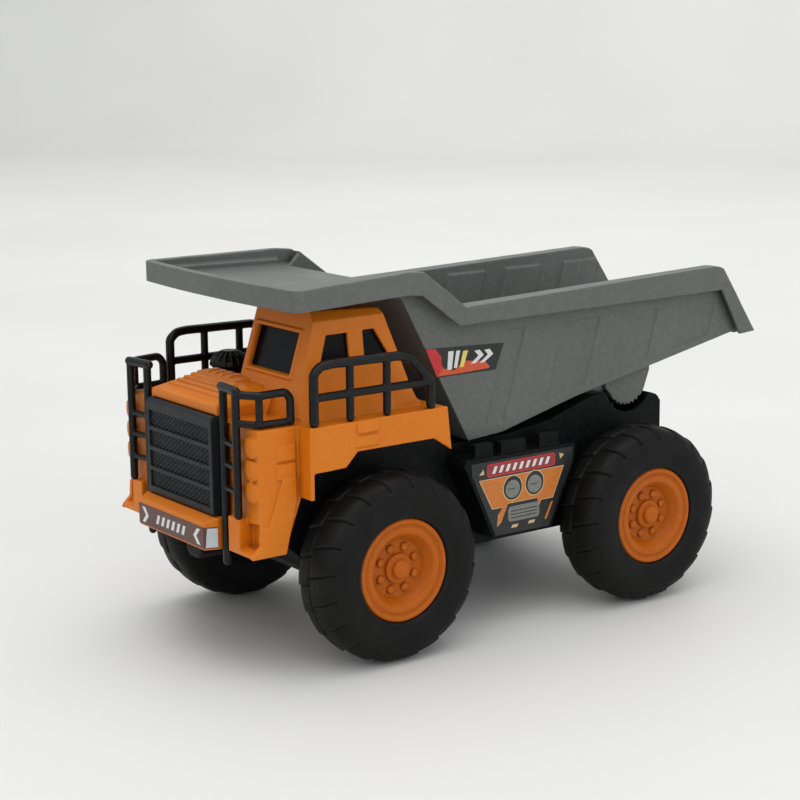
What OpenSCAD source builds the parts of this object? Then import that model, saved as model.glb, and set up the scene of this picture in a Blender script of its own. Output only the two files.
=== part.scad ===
// Toy rigid-frame mining dump truck with a hand-tilted body and a friction flywheel drive.
// Millimetres. The truck faces -Y, its left side is +X, +Z is up, and it stands on Z = 0.

/* [Wheels] */
// Diameter over the tread of every tyre
wheel_d = 80; // [77:0.5:80]
// Distance between the front and the rear axle
wheelbase = 140; // [138:0.5:141]
// Overall width over the four tyres
track_w = 144; // [142:0.5:148]
// Width of one tyre from sidewall to sidewall
tyre_w = 26; // [24:0.5:26.5]
// Diameter of the rim where the tyre sits on it
rim_d = 44; // [40:0.5:46]
// Tread lugs around each shoulder of a tyre
lug_n = 24; // [16:2:32]
// Diameter of the steel axles
axle_d = 4; // [3:0.5:4.5]

/* [Chassis] */
// Outside width of the chassis frame between the wheels
frame_w = 84; // [80:1:86]
// Wall thickness of the moulded chassis
frame_t = 2.2; // [1.6:0.1:2.6]
// Radial clearance of every shaft that turns in a bore
running_fit = 0.05; // [0.02:0.01:0.1]

/* [Cab] */
// Overall width over the fenders
fender_w = 124; // [120:1:128]
// Height of the deck that the cab stands on
deck_z = 103.4; // [103:0.1:104.5]
// Height of the cab roof at its front edge
cab_roof_z = 146; // [142:0.5:146]
// Wall thickness of the orange moulding
shell_t = 1.8; // [1.4:0.1:2.2]

/* [Dump body] */
// Outside width of the body between its side walls
body_w = 90; // [88:0.5:91]
// Wall thickness of the body
body_t = 2.4; // [1.8:0.1:2.6]
// Width over the canopy at its front corners
canopy_w = 121; // [116:1:124]
// Height of the canopy rim
canopy_z = 159; // [157:0.5:162]
// Ribs pressed into each side wall
rib_n = 4; // [2:1:4]

/* [Rails] */
// Diameter of the deck railings
rail_d = 4; // [3:0.1:4.2]
// Diameter of the front ladder guards
guard_d = 3.5; // [2.8:0.1:3.6]

/* [Friction motor] */
// Gear module of the motor's spur gears
gear_module = 0.7; // [0.66:0.01:0.7]
// Teeth on the gear fixed to the rear axle
axle_gear_teeth = 24; // [22:1:24]
// Teeth on the small pinions of the idler and the flywheel
pinion_teeth = 10; // [10:1:11]
// Teeth on the large gear of the idler
idler_gear_teeth = 25; // [23:1:25]
// Diameter of the steel flywheel
flywheel_d = 21.2; // [16:0.2:21.2]

/* [Hidden] */
$fn = 64;

orange = [0.85, 0.47, 0.14];
grey = [0.42, 0.43, 0.42];
black = [0.10, 0.10, 0.11];
slate = [0.20, 0.22, 0.23];
steel = [0.72, 0.73, 0.75];
nylon = [0.92, 0.91, 0.86];

// Places that several parts share
axle_z = wheel_d / 2;
front_y = -76;
rear_y = front_y + wheelbase;
axle_r = axle_d / 2;
wheel_r = wheel_d / 2;
rim_r = rim_d / 2;
tyre_out = track_w / 2;
tyre_in = tyre_out - tyre_w;
frame_x = frame_w / 2;
frame_bottom_z = 37;
cover_t = 2.2;
deck_t = 2.4;
seam = 0.05;
decal_t = 0.3;
tail_y = 147.6;
bumper_front_y = -144.6;
// Puts the overall length evenly about the origin
datum_y = -(tail_y + bumper_front_y - decal_t) / 2;

// Tilt pivot of the dump body and the ears that hang from it
pivot_y = 73.6;
pivot_z = 96.6;
ear_r = 11.6;
ear_x0 = 37.6;
ear_x1 = 41;
ear_well_r = 14.4;
stub_r = 2;
bracket_x0 = 33;
bracket_x1 = 36;

// ---------- helpers ----------

// Outline in (y, z), extruded from x0 to x1
module side_prism(outline, x0, x1) {
    translate([x0, 0, 0])
        rotate([90, 0, 90])
            linear_extrude(x1 - x0)
                polygon(outline);
}

// Outline in (x, z), extruded from y0 to y1
module front_prism(outline, y0, y1) {
    translate([0, y1, 0])
        rotate([90, 0, 0])
            linear_extrude(y1 - y0)
                polygon(outline);
}

// Box from its lowest corner to its highest corner
module box(low, high) {
    translate(low)
        cube(high - low);
}

// Cylinder along X from x0 to x1 around (y, z)
module x_cylinder(r, x0, x1, y, z) {
    translate([x0, y, z])
        rotate([0, 90, 0])
            cylinder(r = r, h = x1 - x0);
}

// Profile in (radius, x), turned around the X axis through (y, z)
module x_turned(profile, y, z) {
    translate([0, y, z])
        rotate([0, 90, 0])
            rotate_extrude($fn = 96)
                polygon(profile);
}

// Eight-sided bar between two points, run on past both by a little so that corners close
module bar(a, b, d) {
    run = b - a;
    span = norm(run);
    lap = d * 0.2;
    translate(a)
        rotate([0, acos(run[2] / span), atan2(run[1], run[0])])
            translate([0, 0, -lap])
                rotate([0, 0, 20])
                    cylinder(d = d / cos(22.5), h = span + 2 * lap, $fn = 8);
}

module bars(points, d) {
    for (i = [1 : len(points) - 1])
        bar(points[i - 1], points[i], d);
}

// Same shape on the truck's right side
module right() {
    mirror([1, 0, 0])
        children();
}

module both_sides() {
    children();
    right()
        children();
}

// Polyline moved sideways by d, to the right of its direction when d is positive
function unit(v) = v / norm(v);
function right_of(v) = [v[1], -v[0]];
function corner_shift(p, i, d) =
    let (a = i == 0 ? unit(p[1] - p[0]) : unit(p[i] - p[i - 1]),
         b = i == len(p) - 1 ? a : unit(p[i + 1] - p[i]),
         m = unit(right_of(a) + right_of(b)))
    p[i] + m * d / (m * right_of(a));
function beside(p, d) = [for (i = [0 : len(p) - 1]) corner_shift(p, i, d)];
function reversed(p) = [for (i = [len(p) - 1 : -1 : 0]) p[i]];

// Rectangle with round corners around (cx, cz), half sizes hx and hz
function round_rect(cx, cz, hx, hz, r) =
    [for (q = [0 : 3], a = [0 : 30 : 90])
        let (sx = q == 0 || q == 3 ? 1 : -1, sz = q < 2 ? 1 : -1)
        [cx + sx * (hx - r) + r * cos(90 * q + a), cz + sz * (hz - r) + r * sin(90 * q + a)]];

// ---------- chassis ----------

frame_top = [[-114, 101], [-44, 101], [-37, 83], [-30, 81.4], [5, 82], [26.5, 84.8],
    [51.9, 92.8], [57, 93.2], [87.2, 89.4], [90.8, 88.2], [93.2, 85.6], [93.7, 84.5]];
frame_front_y = -114;
frame_rear_y = 93.7;
// Sloping chin at the front of the frame
frame_chin = [[-100, frame_bottom_z], [frame_front_y, 50]];
boss_x = frame_x - 5.2;
boss_spots = [[boss_x, -93], [boss_x, -6], [boss_x, 85]];
pilot_hole_r = 1.25;

module axle_slot(y) {
    for (x = [-frame_x, frame_x - 7]) {
        x_cylinder(axle_r + running_fit, x - 1, x + 8, y, axle_z);
        box([x - 1, y - axle_r - running_fit, frame_bottom_z - 1],
            [x + 8, y + axle_r + running_fit, axle_z]);
    }
}

module chassis_tub() {
    top = beside(frame_top, frame_t);
    chin = beside(frame_chin, frame_t);
    wall_front_y = frame_front_y + frame_t;
    wall_rear_y = frame_rear_y - frame_t;
    outline = concat(frame_top, [[frame_rear_y, frame_bottom_z]], frame_chin);
    hollow = concat([for (p = top) [min(max(p[0], wall_front_y), wall_rear_y), p[1]]],
        [[wall_rear_y, frame_bottom_z - 1], [chin[0][0] + 2.8, frame_bottom_z - 1], chin[0]],
        [[wall_front_y, chin[1][1]]]);
    difference() {
        side_prism(outline, -frame_x, frame_x);
        side_prism(hollow, -frame_x + frame_t, frame_x - frame_t);
    }
}

module chassis_frame() {
    bracket = [[65.1, 86], [82.1, 86], [77.6, pivot_z + 0.5], [69.6, pivot_z + 0.5]];
    towing_nose = [[-6.4, 50], [-6.4, 43], [-3.6, 40.2], [3.6, 40.2], [6.4, 43], [6.4, 50]];
    color(black)
    difference() {
        union() {
            chassis_tub();
            // bearing blocks for both axles
            for (y = [front_y, rear_y])
                both_sides()
                    box([frame_x - 6, y - 5, frame_bottom_z], [frame_x - 1, y + 5, axle_z + 6]);
            // towing nose under the bumper
            front_prism(towing_nose, -134, -102);
            // screw bosses
            for (p = boss_spots)
                both_sides()
                    translate([p[0], p[1], frame_bottom_z])
                        cylinder(r = 3.4, h = p[1] < -50 ? 62.5 : 43);
            // pivot brackets
            both_sides() {
                side_prism(bracket, bracket_x0, bracket_x1);
                x_cylinder(3.8, bracket_x0, bracket_x1, pivot_y, pivot_z);
            }
        }
        both_sides() {
            x_cylinder(ear_well_r, bracket_x1 + 0.4, frame_x + 1, pivot_y, pivot_z);
            x_cylinder(stub_r + running_fit, bracket_x0 - 1, bracket_x1 + 1, pivot_y, pivot_z);
            for (p = boss_spots)
                translate([p[0], p[1], frame_bottom_z - 1])
                    cylinder(r = pilot_hole_r, h = 13);
        }
        axle_slot(front_y);
        axle_slot(rear_y);
    }
}

// The motor case hangs through a window in the cover
motor_x0 = -11;
motor_x1 = 15;
motor_split_x = 2;
motor_window_y0 = 30;
motor_window_y1 = 76.2;

module chassis_bottom_cover() {
    z0 = frame_bottom_z - cover_t;
    color(black)
    difference() {
        union() {
            box([-frame_x, frame_chin[0][0], z0], [frame_x, frame_rear_y, frame_bottom_z]);
            // cradles that close the axle slots from below
            for (y = [front_y, rear_y])
                both_sides()
                    box([frame_x - 5.8, y - axle_r + 0.05, z0],
                        [frame_x - 0.2, y + axle_r - 0.05, axle_z - 0.6]);
            // stiffening ribs under the floor
            for (y = [-40, -10, 20])
                box([-30, y - 1, z0 - 1.2], [30, y + 1, z0]);
        }
        box([motor_x0 - 0.3, motor_window_y0, z0 - 3],
            [motor_x1 + 0.3, motor_window_y1, frame_bottom_z + 1]);
        for (y = [front_y, rear_y])
            x_cylinder(axle_r + running_fit, -frame_x - 1, frame_x + 1, y, axle_z);
        both_sides()
            for (p = boss_spots)
                translate([p[0], p[1], z0 - 1]) {
                    cylinder(r = 1.5, h = cover_t + 2);
                    cylinder(r = 2.9, h = 1.9);
                }
        for (p = motor_lug_spots)
            translate([p[0], p[1], z0 - 1])
                cylinder(r = 0.9, h = cover_t + 2);
    }
}

// Countersunk-style pan screws, pushed up from below
module screw(shank_r, shank_h, head_r, head_h) {
    cylinder(r = head_r, h = head_h);
    cylinder(r = shank_r, h = head_h + shank_h);
}

module chassis_screws() {
    color(steel)
    both_sides()
        for (p = boss_spots)
            translate([p[0], p[1], frame_bottom_z - cover_t - 0.8])
                difference() {
                    screw(1.2, 12, 2.7, 1.6);
                    for (a = [0, 90])
                        rotate([0, 0, a])
                            box([-1.8, -0.25, -1], [1.8, 0.25, 0.7]);
                }
}

// Side panels shaped like tank guards, with three small boxes on top
panel_x0 = frame_x + 0.2;
panel_x1 = 55;
panel_outline = [[-32.9, 74.1], [-31.4, 76.6], [29.4, 76], [29.5, 68.7], [15.7, 39.3], [-16.8, 39.8],
    [-30.9, 70.7]];

module side_panel_left() {
    inner = beside([for (i = [1 : 6]) panel_outline[i]], frame_t - 0.4);
    color(black)
    difference() {
        union() {
            side_prism(panel_outline, panel_x0, panel_x1);
            box([49.2, -25.2, 76], [53, -15.3, 82]);
            box([49.2, -10.9, 75.8], [53, 3.1, 81.6]);
            box([49.2, 10.7, 75.8], [53, 22.1, 82.2]);
        }
        side_prism(inner, panel_x0 - 1, panel_x1 - frame_t);
    }
}

panel_decal_outline = [[-29, 74.6], [28.2, 74.6], [28.2, 68.6], [14.6, 40.6], [-15.6, 41], [-28.6, 69.5]];
body_decal_outline = [[-45.6, 125.1], [-3.2, 123.2], [-7.6, 112], [-39.6, 112.2]];

module side_panel_decal_left() {
    color(black)
        side_prism(panel_decal_outline, panel_x1, panel_x1 + decal_t);
}

module body_decal_left() {
    color([0.75, 0.2, 0.12])
        side_prism(body_decal_outline, body_w / 2, body_w / 2 + decal_t);
}

// Springy tongues that click over the teeth of the ears
module detent_tongues() {
    tongue = [[52.6, 90.6], [56.4, 90.9], [64.6, 86.6], [66, 87], [66.5, 86.1], [65, 85.1], [55.6, 89.4],
        [52.6, 89.3]];
    color(black)
    both_sides()
        side_prism(tongue, ear_x0 - 0.6, frame_x - frame_t - 0.2);
}

// ---------- cab, hood, fenders and bumper: one moulding ----------

block_x = 53;
block_front_y = -134.2;
block_rear_y = -117;
block_bottom_z = 51.8;
step_z = 66.5;
step_front_y = -138.4;
hood_x = 26.5;
fender_x = fender_w / 2;
fender_outline = [[-115.5, deck_z], [-46.8, deck_z + 0.2], [-44.8, 85], [-54, 91], [-92.5, 91],
    [-98.4, 85.1], [-113.6, 84.8], [-113.7, 74], [-115.5, 74]];
cab_right_x = 0.5;
grille_x = 26.5;
grille_z0 = 64.1;
grille_z1 = 105.6;
grille_front_y = -139.9;
windshield_x0 = 5;
windshield_x1 = 36.5;
windshield_z0 = 120.3;
windshield_z1 = 136.8;

// Cab block above floor_z, drawn in by i on every other face
module cab_block(i, floor_z) {
    side = [[-113.6 + i, 90], [-113.6 + i, 102.5], [-99.5 + i, cab_roof_z - i],
        [-66.5 - i, cab_roof_z - 1.4 - i], [-52.3 - i, 102.4], [-52.3 - i, 90]];
    front = [[cab_right_x + i, 90], [cab_right_x + i, cab_roof_z + 1], [38 - i, cab_roof_z + 1],
        [43.3 - i, cab_roof_z - 3.8], [47.5 - i, 112], [50.5 - i, 103], [50.5 - i, 90]];
    intersection() {
        side_prism(side, -10, 70);
        front_prism(front, -130, -40);
        box([-20, -130, floor_z], [70, -40, 160]);
    }
}

// Hood with chamfered edges, drawn in by i
module hood_block(i, floor_z) {
    intersection() {
        side_prism([[-137 + i, floor_z], [-137 + i, 109.6 - i], [-130, 111.4 - i], [-118, 114.2 - i],
            [-108, 114.2 - i], [-100, 112 - i], [-100, floor_z]], -40, 40);
        front_prism([[-hood_x + i, floor_z], [-hood_x + i, 108.6 - i], [-20.5, 114.4 - i],
            [20.5, 114.4 - i], [hood_x - i, 108.6 - i], [hood_x - i, floor_z]], -140, -95);
    }
}

module window(outline) {
    side_prism(outline, 40, 52);
}

window_front_side = [[-99.6, 123.6], [-95, 136.3], [-84.6, 136.3], [-84.4, 123.6]];
window_rear_side = [[-77.2, 124], [-77, 136.6], [-71.2, 136.6], [-64.4, 124.5]];

module cab_shell() {
    color(orange)
    difference() {
        union() {
            deck_and_fenders();
            both_sides() {
                front_block();
                bumper_step();
            }
            // wall behind the grille
            box([-hood_x, block_front_y, block_bottom_z], [hood_x, block_front_y + 2, deck_z]);
            bumper();
            hood_block(0, deck_z - deck_t);
            hood_louvres();
            cab_block(0, deck_z - deck_t);
            // plinth along the foot of the cab
            front_prism([[44, deck_z - 1], [44, 112], [47.9, 112], [52.4, deck_z], [52.4, deck_z - 1]],
                -104, -66);
            front_prism([[46, deck_z - 1], [46, deck_z + 2.3], [51, deck_z + 2.3], [51.6, deck_z - 1]],
                -112.8, -53);
            // step in front of the windshield
            side_prism([[-117, deck_z - 1], [-113.5, 110.6], [-106, 112.4], [-106, deck_z - 1]], 2, 30);
            windshield_frame();
        }
        cab_block(shell_t, deck_z - deck_t - 1);
        intersection() {
            hood_block(shell_t, deck_z - deck_t - 1);
            box([-40, -140, 90], [40, -102, 130]);
        }
        // seat for the top of the grille under the nose of the hood
        box([-grille_x - 0.1, -150, 90], [grille_x + 0.1, block_front_y - 0.05, grille_z1 + 0.05]);
        window(window_front_side);
        window(window_rear_side);
        mirror_x_about(cab_right_x + 21)
            window(window_rear_side);
        box([windshield_x0, -125, windshield_z0], [windshield_x1, -95, windshield_z1]);
        // rear window
        box([7, -62, 116], [39, -48, 136]);
    }
}

module deck_and_fenders() {
    box([-fender_x, -115.5, deck_z - deck_t], [fender_x, -46.8, deck_z]);
    both_sides() {
        side_prism(fender_outline, fender_x - 2, fender_x);
        box([block_x - 1, -115.5, 74], [fender_x, -113.7, deck_z]);
        // pad on the skirt, and a flatter plate below it
        side_prism([[-92.6, deck_z - 0.6], [-83, deck_z - 0.6], [-82.3, deck_z - 1.3], [-82.3, deck_z - 4.3],
            [-83, deck_z - 5], [-92.4, deck_z - 5], [-93.2, deck_z - 4.2], [-93.2, deck_z - 1.2]],
            fender_x - 0.5, fender_x + 1.1);
        side_prism([[-93.4, deck_z - 6.1], [-82.2, deck_z - 6.1], [-82.4, deck_z - 10.6],
            [-93.4, deck_z - 10.6]], fender_x - 0.5, fender_x + 0.6);
    }
}

// Windows of the far cab wall lie opposite the near ones
module mirror_x_about(x) {
    translate([2 * x, 0, 0])
        mirror([1, 0, 0])
            children();
}

module windshield_frame() {
    slope = atan2(14.1, cab_roof_z - 102.5);
    sill = (windshield_z0 - 102.5) / cos(slope) - 0.4;
    head = (windshield_z1 - 102.5) / cos(slope) + 0.4;
    translate([0, -113.6, 102.5])
        rotate([-slope, 0, 0])
            difference() {
                box([windshield_x0 - 1.8, -0.9, sill - 1.4], [windshield_x1 + 1.8, 1, head + 1.4]);
                box([windshield_x0 - 0.4, -2, sill], [windshield_x1 + 0.4, 2, head]);
            }
}

module hood_louvres() {
    for (i = [0 : 3])
        translate([0, -131 + 3.5 * i, 111.2 + 0.78 * i])
            side_prism([[-1.2, -1.5], [-1, 1.3], [1.5, 1.3], [2.3, 0.4], [2.3, -1.5]], -20, 20 - 2 * i);
    // cover behind the louvres
    side_prism([[-118, 112], [-117.2, 115], [-107.6, 115.2], [-106.6, 112]], -22, 9);
    for (x = [-18, -12.4, -6.8, -1.2])
        side_prism([[-116.2, 114], [-115.6, 115.9], [-109.6, 116], [-109, 114]], x, x + 3.4);
}

module front_block() {
    t = 2;
    outer = [[block_front_y, deck_z], [block_rear_y + 3, deck_z], [block_rear_y + 3, 74],
        [-122.6, block_bottom_z], [block_front_y, block_bottom_z]];
    inner = [[block_front_y + t, deck_z - deck_t], [block_rear_y + 4, deck_z - deck_t],
        [block_rear_y + 4, 50], [block_front_y + t, 50]];
    cheek = [[-117, 82.4], [-123.4, 82.4], [-125.1, 79.2], [-130.6, 64.1], [block_front_y, 63.3],
        [-134.5, 56.7], [-138.2, 53], [-138.6, 51.6], [-122.6, 51.6], [-117, 73]];
    pocket = [[43.5, 54], [49.5, 53.6], [52.2, 56.6], [52.2, 65.2], [43.5, 64.2]];
    difference() {
        union() {
            difference() {
                side_prism(outer, hood_x - 1, block_x);
                side_prism(inner, hood_x - 2, block_x - t);
            }
            box([41.5, block_front_y + 1, 52.5], [block_x - 1, block_front_y + 5, 67]);
        }
        front_prism(pocket, block_front_y - 6, block_front_y + 2.8);
    }
    // raised bars and the lower cheek on the block's side
    for (z = [82.4, 89.9])
        box([block_x - 0.5, -126.1, z], [block_x + 0.8, -117, z + 6.4]);
    side_prism(cheek, block_x - 1, block_x + 1.2);
    // lamp bosses, each with a raised lens
    for (z = [96, 86.9, 77.8]) {
        front_prism(round_rect(48.2, z, 4.2, 4.2, 2.8), block_front_y - 1.2, block_front_y + 1);
        front_prism(round_rect(48.2, z, 3, 3, 2.2), block_front_y - 1.6, block_front_y + 1);
    }
}

// Proud lower part of the block, with the pocket beside it
module bumper_step() {
    y = block_front_y;
    wedge = [[step_front_y, block_bottom_z], [step_front_y, 53.4], [y, 54.6], [y + 0.5, block_bottom_z]];
    box([35.5, step_front_y, block_bottom_z], [43.5, y + 0.5, step_z]);
    side_prism(wedge, 43, block_x + 0.5);
    box([28.9, y - 0.3, block_bottom_z], [36, y + 1, step_z]);
}

bumper_z0 = 50.8;
bumper_plan = [[26.6, bumper_front_y], [28.9, -139.2], [28.9, -130]];

// Plan outline of the bumper, symmetric about the middle
function mirrored_plan(p) = concat(p, [for (q = reversed(p)) [-q[0], q[1]]]);

module bumper() {
    side = [[bumper_front_y, bumper_z0], [bumper_front_y, 62.3], [-139.6, 64], [block_front_y + 1, 64],
        [block_front_y + 1, bumper_z0]];
    difference() {
        intersection() {
            side_prism(side, -40, 40);
            linear_extrude(80)
                polygon(mirrored_plan(bumper_plan));
        }
        box([-24.6, bumper_front_y + 2, bumper_z0 - 1], [24.6, block_front_y + 2, 60.6]);
    }
}

module cab_windows() {
    color(black)
    difference() {
        cab_block(shell_t + 0.1, 116);
        cab_block(shell_t + 1.3, 115);
    }
}

// ---------- front details ----------

module radiator_grille() {
    window_x = 24.2;
    window_h = 6.9;
    pitch = 8.7;
    side = [[grille_front_y + 0.6, grille_z0], [grille_front_y, grille_z0 + 1],
        [grille_front_y, grille_z1 - 1.2], [grille_front_y + 1.2, grille_z1],
        [block_front_y, grille_z1 - 0.2], [block_front_y, grille_z0]];
    color(slate)
    difference() {
        side_prism(side, -grille_x, grille_x);
        for (i = [0 : 3])
            box([-window_x, grille_front_y - 1, 67.6 + pitch * i],
                [window_x, grille_front_y + 1.6, 67.6 + window_h + pitch * i]);
        box([-window_x - 0.4, grille_front_y + 3, 66], [window_x + 0.4, block_front_y + 1, 103]);
    }
}

// Printed band wrapped around the bumper
module bumper_band() {
    t = decal_t;
    front_x = bumper_plan[0][0];
    side_x = bumper_plan[1][0];
    turn_y = bumper_plan[1][1];
    outer = [[side_x - 0.4, turn_y], [side_x + t, turn_y], [front_x + t, bumper_front_y - t]];
    color([0.36, 0.17, 0.13])
    difference() {
        linear_extrude(60.6)
            polygon(mirrored_plan(reversed(outer)));
        box([-40, -150, -1], [40, -120, 51.4]);
        linear_extrude(80)
            polygon(mirrored_plan(bumper_plan));
    }
}

module front_guard_left() {
    in = [30.75, -136.3];
    out = [42.6, -137.8];
    top = 118.6;
    foot = deck_z + guard_d / 2 + 0.05;
    rear_top = [50.2, -131.6];
    rear_foot = [50.8, -117.4];
    color(black)
    union() {
        bar([in[0], in[1], 45.4], [in[0], in[1], top - 0.6], guard_d);
        bar([out[0], out[1], 67.3], [out[0], out[1], top - 0.6], guard_d);
        bar([in[0] - 1.2, in[1], top - 0.4], [out[0] + 0.6, out[1], top - 0.4], guard_d + 0.4);
        for (z = [96, 87, 77])
            bar([in[0], in[1], z], [out[0], out[1], z], 2.5);
        bars([[out[0], out[1], top - 1], [44.4, -136, 117], [rear_top[0], rear_top[1], 116.8],
            [rear_foot[0], -120.6, 117], [rear_foot[0], -118.4, 114.6],
            [rear_foot[0], rear_foot[1], foot]], guard_d);
        bar([rear_top[0], rear_top[1], 116.8], [rear_top[0], rear_top[1], foot], guard_d - 0.3);
        bars([[out[0], out[1], 105.6], [rear_top[0], rear_top[1], foot],
            [rear_foot[0], rear_foot[1], foot]], guard_d - 0.4);
    }
}

// Railing on the deck at x, its top rail lowered by drop
module side_rail(x, drop) {
    foot = deck_z + 0.1 + rail_d * 0.2;
    top = 127.4 - drop;
    color(black)
    union() {
        bars([[x, -112.2, foot], [x, -112.2, top - 3.2], [x, -109.4, top - 0.2], [x, -104, top + 0.6],
            [x, -70.2, top], [x, -65.2, top - 1.6], [x, -54.2, top - 12.7], [x, -54.2, foot]], rail_d);
        bar([x, -112.2, top - 12.4], [x, -54.2, top - 12.5], rail_d - 0.5);
        for (y = [-94.7, -76.5])
            bar([x, y, foot], [x, y, top - 0.4], rail_d - 0.6);
    }
}

module air_cleaner() {
    rib_count = 16;
    color(black)
    translate([-34, -93.5, deck_z])
        union() {
            cylinder(r = 6.4, h = 9);
            for (a = [0 : 360 / rib_count : 359])
                rotate([0, 0, a])
                    box([5.4, -0.5, 0], [7.3, 0.5, 9]);
            translate([0, 0, 9])
                rotate_extrude()
                    polygon([[0, 0], [8.2, 0], [8.6, 0.8], [8.2, 2.6], [6.4, 5], [3.2, 6.6], [0, 7]]);
            // raised ribs over the dome
            for (a = [0 : 360 / rib_count : 179])
                rotate([0, 0, a])
                    front_prism([[-8.9, 9.6], [-8.5, 11.9], [-6.6, 14.4], [-3.3, 16], [3.3, 16], [6.6, 14.4],
                        [8.5, 11.9], [8.9, 9.6]], -0.45, 0.45);
        }
}

// ---------- dump body ----------

body_x = body_w / 2;
floor_line = [[-22.5, 82.4], [-4, 83.7], [38, 94], [137.6, 113.1]];
headboard_top = [-57.8, 147.8];
rim_top = [[tail_y, 112.7], [125.9, 144.2], [123.4, 145.4], [119.5, 145.9], [-28.5, 142.1], [-50.5, 158.8],
    [-58.4, canopy_z + 0.6], [-126, canopy_z - 0.6]];
rim_low = [[137.9, 112.1], [125, 134.3], [-31.8, 134.3], [-51.7, 149.1], [-60, 149.9], [-126, 149.6]];
rim_mid_x = 52;
rim_rear_x = 49;
canopy_x = canopy_w / 2;
corner_r = 5;
bow = 2.6;
front_edge_y = -123.2;

// Plan outline of the rim, drawn in by i: flared canopy with round corners and a bowed front
function half_plan(i) =
    let (r = max(corner_r - i, 0.5), cx = canopy_x - i - r,
         front = front_edge_y + i, cy = front + bow + 0.985 * r)
    concat(
        [[rim_rear_x - i, 160], [rim_mid_x - i, -58], [canopy_x - i, cy]],
        [for (a = [-20 : -20 : -80]) [cx + r * cos(a), cy + r * sin(a)]],
        [for (k = [4 : -1 : 1]) [cx * k / 4.5, front + bow * pow(k / 4.5, 2)]]);
function plan(i) = let (h = half_plan(i))
    concat(h, [[0, front_edge_y + i]], [for (p = reversed(h)) [-p[0], p[1]]]);

module plan_prism(i, z0, z1) {
    translate([0, 0, z0])
        linear_extrude(z1 - z0)
            polygon(plan(i));
}

rim_wide = 200;
module rim_band(top, low) {
    side_prism(concat(top, reversed(low)), -rim_wide / 2, rim_wide / 2);
}

module rim() {
    lip = 1.8;
    skin = 2;
    difference() {
        intersection() {
            plan_prism(0, 100, 170);
            rim_band(rim_top, rim_low);
        }
        // channel under the flange, between the outer lip and the wall
        difference() {
            intersection() {
                plan_prism(lip, 100, 170);
                rim_band(beside(rim_top, -skin), [for (p = rim_low) p - [0, 8]]);
            }
            box([-body_x, -30, 90], [body_x, 160, 170]);
            box([-rim_wide / 2, -130, 150.2], [rim_wide / 2, -48.5, 170]);
        }
        // open top of the load bed
        side_prism([[-31, 100], [-31, 170], [170, 170], [170, 100]], -body_x + body_t, body_x - body_t);
        side_prism([[-60, 153], [-60, 170], [-25, 170], [-25, 100]], -body_x + body_t, body_x - body_t);
        // tray of the canopy, with a small step around it
        intersection() {
            plan_prism(4, 152.6, 170);
            box([-100, -130, 152.6], [100, -50, 170]);
        }
    }
}

rib_x = [[-6.1, 10.3], [26.2, 21.7], [61.7, 21.7], [98.4, 21.7]];
rib_lean = 0.29;

// Ribs stand proud inside the bed and leave shallow recesses outside
module rib(i) {
    y0 = rib_x[i][0];
    w = rib_x[i][1];
    foot = -30;
    side_prism([[y0 + rib_lean * foot, 112 + foot], [y0 + w + rib_lean * foot, 112 + foot],
        [y0 + w + rib_lean * 28, 140], [y0 + rib_lean * 28, 140]],
        body_x - body_t - 1.4, body_x - body_t + 0.5);
}

module rib_recess(i) {
    y0 = rib_x[i][0];
    w = rib_x[i][1];
    side_prism([[y0 + rib_lean * -24, 88], [y0 + w + rib_lean * -24, 88], [y0 + w + rib_lean * 20, 132],
        [y0 + rib_lean * 20, 132]], body_x - 0.7, body_x + 1);
}

module bed_side() {
    wall = concat(floor_line, [[136.9, 113.2], rim_top[1] - [1.6, 1.6], rim_top[3] - [0, 1],
        rim_top[4] - [0, 1], rim_top[5] - [0, 2], headboard_top + [1, 3], headboard_top]);
    difference() {
        side_prism(wall, body_x - body_t, body_x);
        intersection() {
            union() {
                for (i = [0 : rib_n - 1])
                    rib_recess(i);
            }
            side_prism(beside(concat(floor_line, [[146, 118], [146, 132], [-20, 132]]), -3.4), 0, 60);
        }
    }
    intersection() {
        union() {
            for (i = [0 : rib_n - 1])
                rib(i);
        }
        side_prism(concat(floor_line, [[136.9, 140], [-40, 140]]), 0, 60);
    }
}

// Toothed ear that hangs from the floor, with a stub that turns in the chassis bracket
module pivot_ear() {
    cheek = [[59.9, 99.4], [60.3, 94.2], [63.4, 91], [84, 91.5], [87.3, 100], [87.5, 104.6]];
    under_floor = [[50, 97.5], [100, 107.1], [100, 70], [50, 70]];
    tooth_pitch = 13;
    difference() {
        union() {
            intersection() {
                x_cylinder(ear_r, ear_x0, ear_x1, pivot_y, pivot_z);
                side_prism(under_floor, ear_x0 - 1, ear_x1 + 1);
            }
            side_prism(cheek, ear_x0, ear_x1);
        }
        for (i = [-3 : 3])
            translate([ear_x0 - 1, pivot_y, pivot_z])
                rotate([-90 + tooth_pitch * i, 0, 0])
                    translate([0, ear_r, 0])
                        side_prism([[-1.4, 0], [0.6, -1.25], [0.6, 1.25]], 0, 6);
    }
    x_cylinder(stub_r, bracket_x0 - 0.5, ear_x0 + 1, pivot_y, pivot_z);
}

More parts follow.
